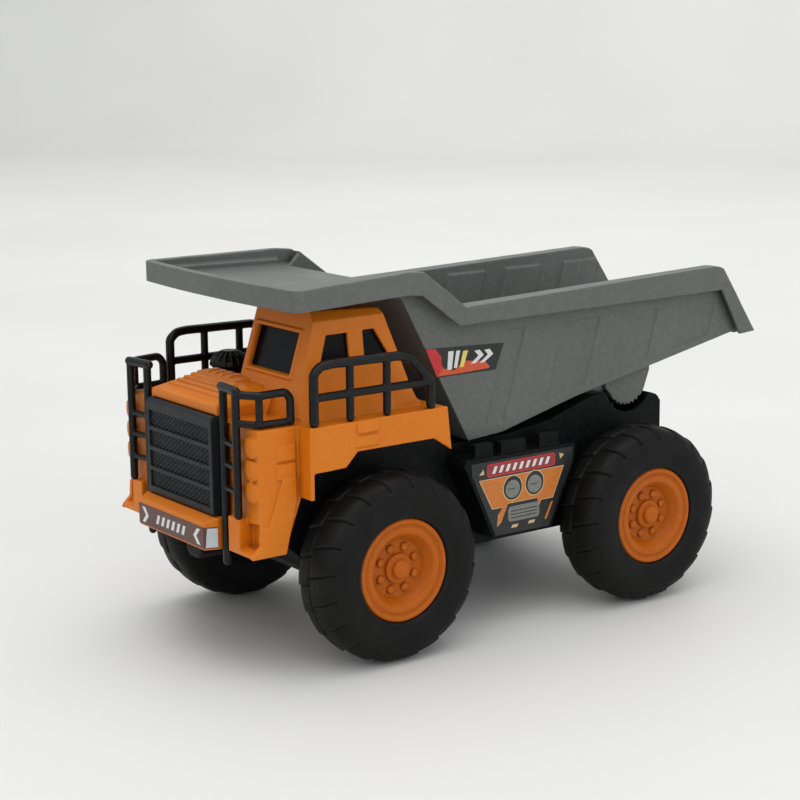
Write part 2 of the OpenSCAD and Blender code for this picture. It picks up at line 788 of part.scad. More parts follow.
module dump_body() {
    floor_plate = concat(floor_line, reversed(beside(floor_line, -body_t)));
    head_line = [floor_line[0], headboard_top];
    head_plate = concat(head_line, reversed(beside(head_line, body_t)));
    keel = [[-18, 83.4], [-4, 84.4], [38, 95], [52, 97.6], [40, 91.2], [0, 82.9], [-16, 82.3]];
    sill = [[-60.6, 152.6], [-57, 152.6], [-55.6, 150], [-57.8, 147.6], [-60.6, 150.2]];
    color(grey)
    union() {
        both_sides()
            bed_side();
        side_prism(floor_plate, -body_x + 0.5, body_x - 0.5);
        side_prism(head_plate, -body_x + 0.5, body_x - 0.5);
        rim();
        // canopy floor
        intersection() {
            plan_prism(1, 150.2, 152.6);
            box([-100, -130, 140], [100, -56.5, 170]);
        }
        side_prism(sill, -body_x, body_x);
        // step around the canopy tray
        difference() {
            intersection() {
                plan_prism(3.8, 152, 155.4);
                box([-100, -130, 140], [100, -59, 170]);
            }
            plan_prism(6.4, 150, 170);
        }
        both_sides()
            pivot_ear();
        // keels under the floor
        for (x = [-14, 14])
            side_prism(keel, x - 1.2, x + 1.2);
    }
}

// ---------- wheels ----------

// Wide flat lugs with narrow grooves between them
groove_depth = 1.3;
function lug_outline(n, phase) =
    let (top = wheel_r - 0.1, root = wheel_r - groove_depth)
    [for (i = [0 : n - 1], c = [[0, top], [0.39, top], [0.78, top], [0.82, root], [0.96, root]])
        let (a = (i + c[0] - 0.39) * 360 / n + phase) [c[1] * cos(a), c[1] * sin(a)]];

module lug_band(x0, x1, phase) {
    translate([x0, 0, 0])
        rotate([0, 90, 0])
            linear_extrude(x1 - x0)
                difference() {
                    polygon(lug_outline(lug_n, phase));
                    circle(r = wheel_r - 2.6);
                }
}

// Hollow vinyl tyre, its two beads seated on the rim and the inner hub
module tyre() {
    bead = rim_r + seam;
    skin = 2.6;
    shoulder = wheel_r - groove_depth - 0.1;
    outer = [[bead, tyre_in + 1.2], [bead + 6, tyre_in], [wheel_r - 7, tyre_in + 0.4],
        [wheel_r - 3, tyre_in + 2.6], [shoulder, tyre_in + 6.2], [wheel_r, tyre_in + 6.4],
        [wheel_r, tyre_out - 6.4], [shoulder, tyre_out - 6.2], [wheel_r - 3, tyre_out - 2.6],
        [wheel_r - 7, tyre_out - 0.4], [bead + 6, tyre_out], [bead, tyre_out - 1.2]];
    inner = [[bead, tyre_out - 1.2 - skin], [bead + 6, tyre_out - skin],
        [wheel_r - 8, tyre_out - skin - 0.4], [wheel_r - 5, tyre_out - 5],
        [wheel_r - 4, tyre_out - 8], [wheel_r - 4, tyre_in + 8],
        [wheel_r - 5, tyre_in + 5], [wheel_r - 8, tyre_in + skin + 0.4], [bead + 6, tyre_in + skin],
        [bead, tyre_in + 1.2 + skin]];
    color(black)
    translate([0, 0, axle_z])
        union() {
            x_turned(concat(outer, inner), 0, 0);
            lug_band(tyre_in + 1.6, tyre_in + 6.6, 0);
            lug_band(tyre_out - 6.6, tyre_out - 1.6, 180 / lug_n);
        }
}

// Dished rim with a hub cap, eight bolts and a long hub that sits on the axle
module rim_wheel() {
    face = tyre_out - 1.5;
    d = face - 70.5;
    cone_r = rim_r - 5.6;
    hub_r = 5;
    bore_r = axle_r + 0.02;
    cap = [[0, 69 + d], [3.6, 69 + d], [4.1, 68.5 + d], [4.1, 67.5 + d], [5.9, 67.5 + d], [6.3, 67.1 + d],
        [6.3, 65.3 + d]];
    dish = [[12.8, 65.3 + d], [cone_r - 0.2, 69.6 + d], [cone_r + 0.3, 70.2 + d], [rim_r - 3.9, 70.2 + d],
        [rim_r - 3.5, 69.7 + d], [rim_r - 2.6, 69.7 + d]];
    lip = [[rim_r - 2.1, face], [rim_r - 0.7, face], [rim_r, 69.8 + d], [rim_r, 58 + d],
        [rim_r - 1.5, 58 + d], [rim_r - 1.5, 67.4 + d]];
    back = [[cone_r + 1.2, 67.9 + d], [13.8, 63.5 + d], [hub_r, 63.5 + d], [hub_r, 43.6], [bore_r, 43.6],
        [bore_r, 63.5 + d], [0, 63.5 + d]];
    color(orange)
    translate([0, 0, axle_z])
        union() {
            x_turned(concat(cap, dish, lip, back), 0, 0);
            for (a = [22.5 : 45 : 360])
                rotate([a, 0, 0])
                    x_cylinder(1.7, 64.8 + d, 66.6 + d, 9.5, 0);
        }
}

module inner_hub() {
    x0 = tyre_in + 0.4;
    color(black)
    translate([0, 0, axle_z])
        union() {
            x_turned([[5 + seam, 50], [rim_r - 1.6, 50], [rim_r - 1.6, x0], [rim_r, x0], [rim_r, 56.4],
                [rim_r - 1.6, 56.4], [rim_r - 1.6, 51.8], [5 + seam, 51.8]], 0, 0);
            for (a = [0 : 60 : 300])
                rotate([a, 0, 0])
                    box([51, 6, -0.8], [55, rim_r - 1, 0.8]);
        }
}

module at_front_left() {
    translate([0, front_y, 0])
        children();
}

module at_front_right() {
    translate([0, front_y, 0])
        right()
            children();
}

module at_rear_left() {
    translate([0, rear_y, 0])
        children();
}

module at_rear_right() {
    translate([0, rear_y, 0])
        right()
            children();
}

module axle_shaft(y) {
    color(steel)
        x_cylinder(axle_r, -tyre_out + 9.2, tyre_out - 9.2, y, axle_z);
}

// ---------- friction motor on the rear axle ----------

axle_gear_r = gear_module * axle_gear_teeth / 2;
pinion_r = gear_module * pinion_teeth / 2;
idler_gear_r = gear_module * idler_gear_teeth / 2;
idler_dir = 145;
fly_dir = 150;
idler_y = rear_y + (axle_gear_r + pinion_r) * cos(idler_dir);
idler_z = axle_z + (axle_gear_r + pinion_r) * sin(idler_dir);
fly_y = idler_y + (idler_gear_r + pinion_r) * cos(fly_dir);
fly_z = idler_z + (idler_gear_r + pinion_r) * sin(fly_dir);
small_shaft_r = 1;

// Spur gear in the (y, z) plane with a tooth centred on the direction "toward"
function gear_outline(teeth, toward) =
    let (pitch_r = gear_module * teeth / 2,
         top = pitch_r + 0.8 * gear_module,
         root = pitch_r - 1.1 * gear_module,
         step = 360 / teeth)
    [for (i = [0 : teeth - 1],
          c = [[-0.26, root], [-0.19, pitch_r], [-0.08, top], [0.08, top], [0.19, pitch_r], [0.26, root]])
        let (a = toward + (i + c[0]) * step) [c[1] * cos(a), c[1] * sin(a)]];

module spur(teeth, toward, x0, x1) {
    side_prism(gear_outline(teeth, toward), x0, x1);
}

module axle_gear() {
    color(nylon)
    translate([0, rear_y, axle_z])
        difference() {
            union() {
                spur(axle_gear_teeth, idler_dir, 4.2, 8.2);
                x_cylinder(4, 2.6, 8.8, 0, 0);
            }
            x_cylinder(axle_r + 0.02, 0, 20, 0, 0);
        }
}

module idler_gear() {
    color(nylon)
    translate([0, idler_y, idler_z])
        difference() {
            union() {
                spur(pinion_teeth, idler_dir + 180 + 180 / pinion_teeth, 3.9, 9.3);
                spur(idler_gear_teeth, fly_dir, 9.2, 11.4);
            }
            x_cylinder(small_shaft_r + 0.02, 0, 20, 0, 0);
        }
}

module flywheel_pinion() {
    color(nylon)
    translate([0, fly_y, fly_z])
        difference() {
            spur(pinion_teeth, fly_dir + 180 + 180 / pinion_teeth, 8.8, 12);
            x_cylinder(small_shaft_r + 0.02, 0, 20, 0, 0);
        }
}

module flywheel() {
    color(steel)
    translate([0, fly_y, fly_z])
        difference() {
            union() {
                x_cylinder(flywheel_d / 2, -6, 1.6, 0, 0);
                x_cylinder(3, -6.8, 2.4, 0, 0);
            }
            x_cylinder(flywheel_d / 2 - 3, 0.6, 3, 0, 0);
            x_cylinder(small_shaft_r + 0.02, -10, 20, 0, 0);
        }
}

module small_shaft(y, z) {
    color(steel)
        x_cylinder(small_shaft_r, motor_x0 + 0.3, motor_x1 - 0.3, y, z);
}

case_t = 1.6;
case_outline = [[50, 28.6], [37, 39], [30.5, 44], [30.5, 64], [33, 66.5], [54, 66.5], [62, 60.5],
    [75.5, 50], [75.5, 28.6]];
case_hollow = [[50.6, 30.2], [37.9, 40.3], [32.1, 44.8], [32.1, 63.3], [33.7, 64.9], [53.5, 64.9],
    [61.1, 59.1], [73.9, 49.2], [73.9, 30.2]];
motor_lug_spots = [[-6, 26], [10, 26], [-6, 80], [10, 80]];

module motor_case_half(x0, x1, inner0, inner1) {
    difference() {
        union() {
            side_prism(case_outline, x0, x1);
            for (p = motor_lug_spots)
                if (p[0] > x0 && p[0] < x1)
                    box([p[0] - 3, p[1] < 50 ? p[1] - 3 : 75, frame_bottom_z],
                        [p[0] + 3, p[1] < 50 ? 46 : p[1] + 3, frame_bottom_z + 2]);
        }
        side_prism(case_hollow, inner0, inner1);
        x_cylinder(axle_r + running_fit, x0 - 1, x1 + 1, rear_y, axle_z);
        x_cylinder(small_shaft_r + running_fit, x0 - 1, x1 + 1, idler_y, idler_z);
        x_cylinder(small_shaft_r + running_fit, x0 - 1, x1 + 1, fly_y, fly_z);
        for (p = motor_lug_spots)
            translate([p[0], p[1], frame_bottom_z - 1])
                cylinder(r = 1.15, h = 4);
    }
}

module motor_case_left() {
    color([0.55, 0.56, 0.57])
        motor_case_half(motor_split_x, motor_x1, motor_split_x - 1, motor_x1 - case_t);
}

module motor_case_right() {
    color([0.55, 0.56, 0.57])
        motor_case_half(motor_x0, motor_split_x, motor_x0 + case_t, motor_split_x + 1);
}

module motor_screws() {
    color(steel)
    for (p = motor_lug_spots)
        translate([p[0], p[1], frame_bottom_z + 3.2])
            mirror([0, 0, 1])
                screw(0.85, 4.2, 1.9, 1.2);
}

// ---------- output ----------

module placed() {
    translate([0, datum_y, 0])
        children();
}

placed() chassis_frame();
placed() chassis_bottom_cover();
placed() cab_shell();
placed() cab_windows();
placed() radiator_grille();
placed() bumper_band();
placed() front_guard_left();
placed() right() front_guard_left();  // front_guard_right
placed() side_rail(60, 0);  // side_rail_left
placed() right() side_rail(53, 1.2);  // side_rail_right
placed() air_cleaner();
placed() side_panel_left();
placed() right() side_panel_left();  // side_panel_right
placed() side_panel_decal_left();
placed() right() side_panel_decal_left();  // side_panel_decal_right
placed() detent_tongues();
placed() motor_case_left();
placed() motor_case_right();
placed() chassis_screws();
placed() motor_screws();
placed() dump_body();
placed() body_decal_left();
placed() right() body_decal_left();  // body_decal_right
placed() axle_shaft(front_y);  // front_axle_shaft
placed() axle_shaft(rear_y);  // rear_axle_shaft
placed() axle_gear();
placed() at_front_left() tyre();  // tyre_front_left
placed() at_front_right() tyre();  // tyre_front_right
placed() at_rear_left() tyre();  // tyre_rear_left
placed() at_rear_right() tyre();  // tyre_rear_right
placed() at_front_left() rim_wheel();  // rim_front_left
placed() at_front_right() rim_wheel();  // rim_front_right
placed() at_rear_left() rim_wheel();  // rim_rear_left
placed() at_rear_right() rim_wheel();  // rim_rear_right
placed() at_front_left() inner_hub();  // inner_hub_front_left
placed() at_front_right() inner_hub();  // inner_hub_front_right
placed() at_rear_left() inner_hub();  // inner_hub_rear_left
placed() at_rear_right() inner_hub();  // inner_hub_rear_right
placed() idler_gear();
placed() small_shaft(idler_y, idler_z);  // idler_shaft
placed() flywheel();
placed() flywheel_pinion();
placed() small_shaft(fly_y, fly_z);  // flywheel_shaft
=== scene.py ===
import math

import bmesh
import bpy
from mathutils import Matrix, Vector


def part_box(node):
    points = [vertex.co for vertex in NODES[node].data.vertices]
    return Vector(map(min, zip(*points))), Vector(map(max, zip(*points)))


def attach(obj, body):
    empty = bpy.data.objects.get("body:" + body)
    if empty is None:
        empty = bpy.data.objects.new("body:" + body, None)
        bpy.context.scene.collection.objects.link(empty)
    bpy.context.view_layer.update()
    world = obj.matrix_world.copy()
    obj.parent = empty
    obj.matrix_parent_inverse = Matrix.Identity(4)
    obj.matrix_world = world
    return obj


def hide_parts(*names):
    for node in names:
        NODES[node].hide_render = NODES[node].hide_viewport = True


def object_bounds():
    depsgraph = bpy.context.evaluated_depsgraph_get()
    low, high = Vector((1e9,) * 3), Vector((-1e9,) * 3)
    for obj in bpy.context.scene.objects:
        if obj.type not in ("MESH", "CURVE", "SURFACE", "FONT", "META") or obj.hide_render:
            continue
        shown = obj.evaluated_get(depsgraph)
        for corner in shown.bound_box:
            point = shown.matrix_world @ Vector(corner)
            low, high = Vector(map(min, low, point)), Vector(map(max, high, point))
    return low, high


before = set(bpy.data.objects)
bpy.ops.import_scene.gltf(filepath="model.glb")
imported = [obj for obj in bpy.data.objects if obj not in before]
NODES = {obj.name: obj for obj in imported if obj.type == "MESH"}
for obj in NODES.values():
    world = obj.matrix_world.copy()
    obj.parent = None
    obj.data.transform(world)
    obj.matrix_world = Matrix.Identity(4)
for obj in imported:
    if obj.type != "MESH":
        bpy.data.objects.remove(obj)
cad_low, cad_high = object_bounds()
MM = 0.001

# The outlines below are in millimetres from the truck's own datum, which lies 76 mm behind the front axle.
# The axle shafts give that datum's place in the frame.
FRONT_Y = -76.0


def axis_of(shaft):
    """Y and Z of a shaft's middle, in mm."""
    low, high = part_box(shaft)
    return (low.y + high.y) / 2 / MM, (low.z + high.z) / 2 / MM


front_axle_y, AXLE_Z = axis_of("front_axle_shaft")
Y0 = front_axle_y - FRONT_Y
REAR_Y = axis_of("rear_axle_shaft")[0] - Y0


def at(x, y, z):
    return Vector((x * MM, (y + Y0) * MM, z * MM))


# ---------------------------------------------------------------- materials

def new_material(name):
    m = bpy.data.materials.new(name)
    m.use_nodes = True
    nt = m.node_tree
    for n in list(nt.nodes):
        nt.nodes.remove(n)
    out = nt.nodes.new("ShaderNodeOutputMaterial")
    bsdf = nt.nodes.new("ShaderNodeBsdfPrincipled")
    nt.links.new(bsdf.outputs["BSDF"], out.inputs["Surface"])
    return m, nt, bsdf


def node(nt, kind, **values):
    n = nt.nodes.new(kind)
    for k, v in values.items():
        if k in n.inputs:
            n.inputs[k].default_value = v
        else:
            setattr(n, k, v)
    return n


def ramp(nt, source, stops):
    r = nt.nodes.new("ShaderNodeValToRGB")
    nt.links.new(source, r.inputs["Fac"])
    while len(r.color_ramp.elements) < len(stops):
        r.color_ramp.elements.new(0.5)
    for e, (p, c) in zip(r.color_ramp.elements, stops):
        e.position = p
        e.color = (c, c, c, 1) if not hasattr(c, "__len__") else (*c, 1)
    return r.outputs["Color"]


def mix(nt, a, b, fac, blend="MIX"):
    n = nt.nodes.new("ShaderNodeMix")
    n.data_type = "RGBA"
    n.blend_type = blend
    for sock, v in ((n.inputs[6], a), (n.inputs[7], b)):
        if hasattr(v, "node"):
            nt.links.new(v, sock)
        else:
            sock.default_value = (*v, 1) if hasattr(v, "__len__") else (v, v, v, 1)
    if hasattr(fac, "node"):
        nt.links.new(fac, n.inputs[0])
    else:
        n.inputs[0].default_value = fac
    return n.outputs[2]


def plastic(name, base, deep, pale, rough=(0.34, 0.46), grain=0.12, grain_scale=2600.0, flow=0.06, subsurface=0.0,
            wear_and_highlight=0.35, specular=0.5, painted_shade_reach=0.004):
    """Moulded plastic: cloudy pigment, flow marks, a fine spark-eroded grain, paler edges that are partly scuffs and
    partly painted highlight, and painted shade in inner corners.
    """
    m, nt, bsdf = new_material(name)
    co = nt.nodes.new("ShaderNodeTexCoord").outputs["Object"]

    def noise(scale, detail, roughness=0.55):
        n = node(nt, "ShaderNodeTexNoise", Scale=scale, Detail=detail, Roughness=roughness)
        nt.links.new(co, n.inputs["Vector"])
        return n.outputs["Fac"]

    cloud = ramp(nt, noise(28.0, 3.0), [(0.3, 0.0), (0.72, 1.0)])
    colour = mix(nt, deep, base, cloud)
    fine = ramp(nt, noise(420.0, 2.0), [(0.35, 0.0), (0.75, 1.0)])
    colour = mix(nt, colour, pale, mix(nt, 0.0, 0.22, fine))
    geo = nt.nodes.new("ShaderNodeNewGeometry")
    # paler edges: partly scuffs, partly painted highlight along edges and recess rims
    edge = ramp(nt, geo.outputs["Pointiness"], [(0.505, 0.0), (0.56, 1.0)])
    broken = ramp(nt, noise(160.0, 4.0, 0.7), [(0.42, 0.0), (0.66, 1.0)])
    scuff_and_highlight_mask = mix(nt, 0.0, edge, broken)
    colour = mix(nt, colour, pale, mix(nt, 0.0, scuff_and_highlight_mask, wear_and_highlight))
    # painted shade: inner corners and creases are darkened towards a deep copy of the pigment, as far as the
    # occlusion reaches
    shade = node(nt, "ShaderNodeAmbientOcclusion", Distance=painted_shade_reach)
    shade.samples = 4
    painted_shade_mask = ramp(nt, shade.outputs["AO"], [(0.25, 1.0), (0.85, 0.0)])
    colour = mix(nt, colour, tuple(0.42 * c for c in deep), mix(nt, 0.0, painted_shade_mask, 0.75))
    nt.links.new(colour, bsdf.inputs["Base Color"])
    r = ramp(nt, noise(65.0, 4.0), [(0.3, rough[0]), (0.7, rough[1])])
    nt.links.new(r, bsdf.inputs["Roughness"])
    bump_fine = node(nt, "ShaderNodeBump", Strength=grain, Distance=0.00006)
    nt.links.new(noise(grain_scale, 2.0), bump_fine.inputs["Height"])
    bump = node(nt, "ShaderNodeBump", Strength=flow, Distance=0.0006)
    nt.links.new(noise(46.0, 2.0, 0.4), bump.inputs["Height"])
    nt.links.new(bump_fine.outputs["Normal"], bump.inputs["Normal"])
    nt.links.new(bump.outputs["Normal"], bsdf.inputs["Normal"])
    bsdf.inputs["Specular IOR Level"].default_value = specular
    if subsurface:
        bsdf.inputs["Subsurface Weight"].default_value = subsurface
        bsdf.inputs["Subsurface Radius"].default_value = (0.0016, 0.0007, 0.0003)
        bsdf.inputs["Subsurface Scale"].default_value = 1.0
    return m


def metal(name, base, rough):
    """Drawn metal with fine streaks along the X axis."""
    m, nt, bsdf = new_material(name)
    co = nt.nodes.new("ShaderNodeTexCoord").outputs["Object"]
    mp = nt.nodes.new("ShaderNodeMapping")
    mp.inputs["Scale"].default_value = (60, 2400, 2400)
    nt.links.new(co, mp.inputs["Vector"])
    n = node(nt, "ShaderNodeTexNoise", Scale=1.0, Detail=3.0)
    nt.links.new(mp.outputs["Vector"], n.inputs["Vector"])
    dark = [c * 0.7 for c in base]
    nt.links.new(ramp(nt, n.outputs["Fac"], [(0.3, dark), (0.7, base)]), bsdf.inputs["Base Color"])
    nt.links.new(ramp(nt, n.outputs["Fac"], [(0.3, rough), (0.7, rough + 0.14)]), bsdf.inputs["Roughness"])
    b = node(nt, "ShaderNodeBump", Strength=0.15, Distance=0.00004)
    nt.links.new(n.outputs["Fac"], b.inputs["Height"])
    nt.links.new(b.outputs["Normal"], bsdf.inputs["Normal"])
    bsdf.inputs["Metallic"].default_value = 1.0
    return m


def rubber(name):
    """Soft black vinyl: matt, faintly dusty, with a paler bloom where it is handled."""
    m, nt, bsdf = new_material(name)
    co = nt.nodes.new("ShaderNodeTexCoord").outputs["Object"]

    def noise(scale, detail, roughness=0.55):
        n = node(nt, "ShaderNodeTexNoise", Scale=scale, Detail=detail, Roughness=roughness)
        nt.links.new(co, n.inputs["Vector"])
        return n.outputs["Fac"]

    dust = ramp(nt, noise(70.0, 5.0, 0.65), [(0.38, 0.0), (0.74, 1.0)])
    colour = mix(nt, (0.0050, 0.0050, 0.0047), (0.0090, 0.0089, 0.0083), dust)
    geo = nt.nodes.new("ShaderNodeNewGeometry")
    edge = ramp(nt, geo.outputs["Pointiness"], [(0.505, 0.0), (0.57, 1.0)])
    colour = mix(nt, colour, (0.022, 0.022, 0.021), mix(nt, 0.0, edge, 0.6))
    nt.links.new(colour, bsdf.inputs["Base Color"])
    nt.links.new(ramp(nt, noise(110.0, 4.0), [(0.3, 0.46), (0.7, 0.62)]), bsdf.inputs["Roughness"])
    b = node(nt, "ShaderNodeBump", Strength=0.25, Distance=0.00008)
    nt.links.new(noise(1900.0, 2.0), b.inputs["Height"])
    nt.links.new(b.outputs["Normal"], bsdf.inputs["Normal"])
    bsdf.inputs["Specular IOR Level"].default_value = 0.15
    return m


def printed(name, base, second=None, rough=0.3):
    """Gloss sticker ink with a slight print mottle."""
    m, nt, bsdf = new_material(name)
    co = nt.nodes.new("ShaderNodeTexCoord").outputs["Object"]
    n = node(nt, "ShaderNodeTexNoise", Scale=900.0, Detail=2.0)
    nt.links.new(co, n.inputs["Vector"])
    second = second or [min(1.0, c * 1.18 + 0.004) for c in base]
    nt.links.new(ramp(nt, n.outputs["Fac"], [(0.35, base), (0.65, second)]), bsdf.inputs["Base Color"])
    n2 = node(nt, "ShaderNodeTexNoise", Scale=140.0, Detail=2.0)
    nt.links.new(co, n2.inputs["Vector"])
    nt.links.new(ramp(nt, n2.outputs["Fac"], [(0.3, rough), (0.7, rough + 0.12)]), bsdf.inputs["Roughness"])
    b = node(nt, "ShaderNodeBump", Strength=0.06, Distance=0.0003)
    nt.links.new(n2.outputs["Fac"], b.inputs["Height"])
    nt.links.new(b.outputs["Normal"], bsdf.inputs["Normal"])
    return m


ORANGE = plastic("orange_moulding", (0.690, 0.184, 0.0040), (0.640, 0.160, 0.0025), (0.74, 0.26, 0.035),
                 rough=(0.36, 0.48), subsurface=0.05, wear_and_highlight=0.30, specular=0.28)
# painted shade: the rims use the cab's orange made darker and more saturated, standing in for the shade and
# interreflected light inside the rims
SHADED_RIM_ORANGE = plastic("rim_orange_painted_shade", (0.480, 0.108, 0.0012), (0.420, 0.088, 0.0008), (0.62, 0.18, 0.012),
                     rough=(0.36, 0.48), subsurface=0.05, wear_and_highlight=0.35, specular=0.20)
# its paler edges are strong: partly wear, partly painted highlight on the recess edges
GREY = plastic("grey_moulding", (0.117, 0.122, 0.115), (0.104, 0.108, 0.101), (0.21, 0.215, 0.205),
               rough=(0.38, 0.50), wear_and_highlight=0.60, grain=0.2, specular=0.35)
BLACK = plastic("black_moulding", (0.0042, 0.0044, 0.0046), (0.0028, 0.0030, 0.0032), (0.030, 0.031, 0.033),
                rough=(0.36, 0.50), wear_and_highlight=0.22, specular=0.09)
GLOSS_BLACK = plastic("black_rails", (0.0040, 0.0042, 0.0042), (0.0030, 0.0032, 0.0032), (0.030, 0.031, 0.032),
                      rough=(0.24, 0.36), wear_and_highlight=0.22, flow=0.03, specular=0.24)
SLATE = plastic("slate_grille", (0.0110, 0.0135, 0.0145), (0.0085, 0.0105, 0.0115), (0.045, 0.052, 0.055),
                rough=(0.38, 0.50), wear_and_highlight=0.45, specular=0.22, painted_shade_reach=0.0015)
WINDOW = plastic("window_insert", (0.0040, 0.0042, 0.0046), (0.0030, 0.0032, 0.0036), (0.010, 0.010, 0.011),
                 rough=(0.20, 0.30), wear_and_highlight=0.0, grain=0.05, flow=0.02, specular=0.10)
TYRE = rubber("tyre_vinyl")
STEEL = metal("drawn_steel", (0.60, 0.60, 0.62), 0.22)
NYLON = plastic("natural_nylon", (0.72, 0.70, 0.62), (0.66, 0.64, 0.56), (0.82, 0.80, 0.74), rough=(0.35, 0.45),
                subsurface=0.1)
MOTOR = plastic("motor_case_grey", (0.20, 0.21, 0.22), (0.17, 0.18, 0.19), (0.34, 0.35, 0.36), rough=(0.42, 0.52))
INK_BLACK = printed("ink_black", (0.006, 0.006, 0.006), (0.011, 0.011, 0.011))
INK_RED = printed("ink_red", (0.50, 0.012, 0.014))
INK_MAROON = printed("ink_maroon", (0.24, 0.022, 0.022))
INK_ORANGE = printed("ink_orange", (0.52, 0.150, 0.012))
INK_SCARLET = printed("ink_scarlet", (0.56, 0.070, 0.012))
INK_WHITE = printed("ink_white", (0.74, 0.74, 0.72), (0.68, 0.68, 0.66))
INK_YELLOW = printed("ink_yellow", (0.70, 0.56, 0.12))
INK_BROWN = printed("ink_brown", (0.085, 0.028, 0.018))
INK_SILVER = printed("ink_silver", (0.48, 0.52, 0.56), (0.56, 0.60, 0.64))
INK_GREY = printed("ink_grey", (0.16, 0.16, 0.145), (0.21, 0.21, 0.19))
INK_CREAM = printed("ink_cream", (0.56, 0.40, 0.22))


# ---------------------------------------------------------------- mesh helpers

def link(name, mesh, materials=()):
    o = bpy.data.objects.new(name, mesh)
    bpy.context.scene.collection.objects.link(o)
    for m in materials:
        o.data.materials.append(m)
    return o


def smooth(mesh):
    mesh.polygons.foreach_set("use_smooth", [True] * len(mesh.polygons))


def baked(o):
    """o with its modifiers applied."""
    bpy.context.view_layer.update()
    dg = bpy.context.evaluated_depsgraph_get()
    me = bpy.data.meshes.new_from_object(o.evaluated_get(dg), preserve_all_data_layers=True, depsgraph=dg)
    old = o.data
    o.modifiers.clear()
    o.data = me
    if old.users == 0:
        bpy.data.meshes.remove(old)
    return o


def finish_piece(o, body, slot, *nodes):
    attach(o, body)
    if nodes:
        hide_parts(*nodes)
    return o


def joined_mesh(name, *sources):
    bm = bmesh.new()
    for s in sources:
        bm.from_mesh(s if isinstance(s, bpy.types.Mesh) else NODES[s].data)
    me = bpy.data.meshes.new(name)
    bm.to_mesh(me)
    bm.free()
    return me


def moulded(name, source, voxel, passes, faces, material, body, slot, *nodes):
    """A copy of a CAD shape as it comes out of a mould: the same walls, with every edge and inside corner rounded."""
    mesh = source if isinstance(source, bpy.types.Mesh) else joined_mesh(name, source)
    mesh.materials.clear()
    o = link(name, mesh, [material])
    r = o.modifiers.new("mould", "REMESH")
    r.mode = "VOXEL"
    r.voxel_size = voxel * MM * 1.0
    r.adaptivity = 0.0
    s = o.modifiers.new("round", "SMOOTH")
    s.factor = 0.5
    s.iterations = passes
    baked(o)
    count = len(o.data.polygons) * 2
    if count > faces:
        d = o.modifiers.new("thin", "DECIMATE")
        d.ratio = faces / count
        baked(o)
    smooth(o.data)
    w = o.modifiers.new("flats", "WEIGHTED_NORMAL")
    w.weight = 60
    w.keep_sharp = False
    o.data.materials.clear()
    o.data.materials.append(material)
    return finish_piece(o, body, slot, *(nodes or [source]))


def tube_mesh(paths, sides=14):
    """One mesh of round bars. A path is (diameter, [points in mm]); its bends are eased and its ends domed."""
    bm = bmesh.new()
    for d, pts in paths:
        r = d / 2 * MM
        p = [at(*q) for q in pts]
        # ease each corner with a short arc
        line = [p[0]]
        for a, b, c in zip(p, p[1:], p[2:]):
            u, v = (a - b), (c - b)
            cut = min(u.length, v.length, 3.2 * MM) * 0.45
            s, e = b + u.normalized() * cut, b + v.normalized() * cut
            for t in (0.0, 0.25, 0.5, 0.75, 1.0):
                line.append(s.lerp(b, t).lerp(b.lerp(e, t), t))
        line.append(p[-1])
        # domed ends
        first, last = (line[1] - line[0]).normalized(), (line[-1] - line[-2]).normalized()
        stations = [(line[0] - first * r * math.sin(a), r * math.cos(a)) for a in (1.35, 0.9, 0.45)]
        stations += [(q, r) for q in line]
        stations += [(line[-1] + last * r * math.sin(a), r * math.cos(a)) for a in (0.45, 0.9, 1.35)]
        rings, side = [], None
        for i, (q, rr) in enumerate(stations):
            n = (stations[min(i + 1, len(stations) - 1)][0] - stations[max(i - 1, 0)][0]).normalized()
            if side is None:
                side = n.orthogonal().normalized()
            side = (side - n * side.dot(n)).normalized()
            other = n.cross(side)
            rings.append([bm.verts.new(q + (side * math.cos(2 * math.pi * k / sides)
                                            + other * math.sin(2 * math.pi * k / sides)) * rr) for k in range(sides)])
        for a, b in zip(rings, rings[1:]):
            for k in range(sides):
                bm.faces.new((a[k], a[(k + 1) % sides], b[(k + 1) % sides], b[k]))
        bm.faces.new(list(reversed(rings[0])))
        bm.faces.new(rings[-1])
    bmesh.ops.recalc_face_normals(bm, faces=bm.faces)
    me = bpy.data.meshes.new("tubes")
    bm.to_mesh(me)
    bm.free()
    return me


def mirrored(mesh, name):
    me = mesh.copy()
    me.name = name
    me.transform(Matrix.Scale(-1, 4, (1, 0, 0)))
    me.flip_normals()
    return me


# ---------------------------------------------------------------- wheels

TYRE_IN, TYRE_OUT = 46.0, 72.0
LUGS = 20
RINGS_PER_LUG = 30


def tyre_profile():
    """(x, r, u) across the tyre from the outer bead to the inner bead; u is x measured from the tyre's middle."""
    keys = [(11.5, 22.1), (12.0, 22.5), (12.25, 23.2), (12.2, 23.9), (12.35, 24.8), (12.75, 26.6), (12.98, 29.0),
            (12.95, 31.0), (12.6, 33.2), (12.0, 35.2), (11.0, 37.0), (9.7, 38.3), (8.0, 39.2), (6.2, 39.7),
            (4.0, 39.95), (2.0, 40.0), (0.0, 40.0)]
    pts = []
    for (x0, r0), (x1, r1) in zip(keys, keys[1:]):
        steps = 4 if r0 > 31 else 2
        pts += [(x0 + (x1 - x0) * i / steps, r0 + (r1 - r0) * i / steps) for i in range(steps)]
    pts.append(keys[-1])
    full = pts + [(-x, r) for x, r in reversed(pts[:-1])]
    mid = (TYRE_OUT + TYRE_IN) / 2
    return [(mid + x, r, x) for x, r in full]


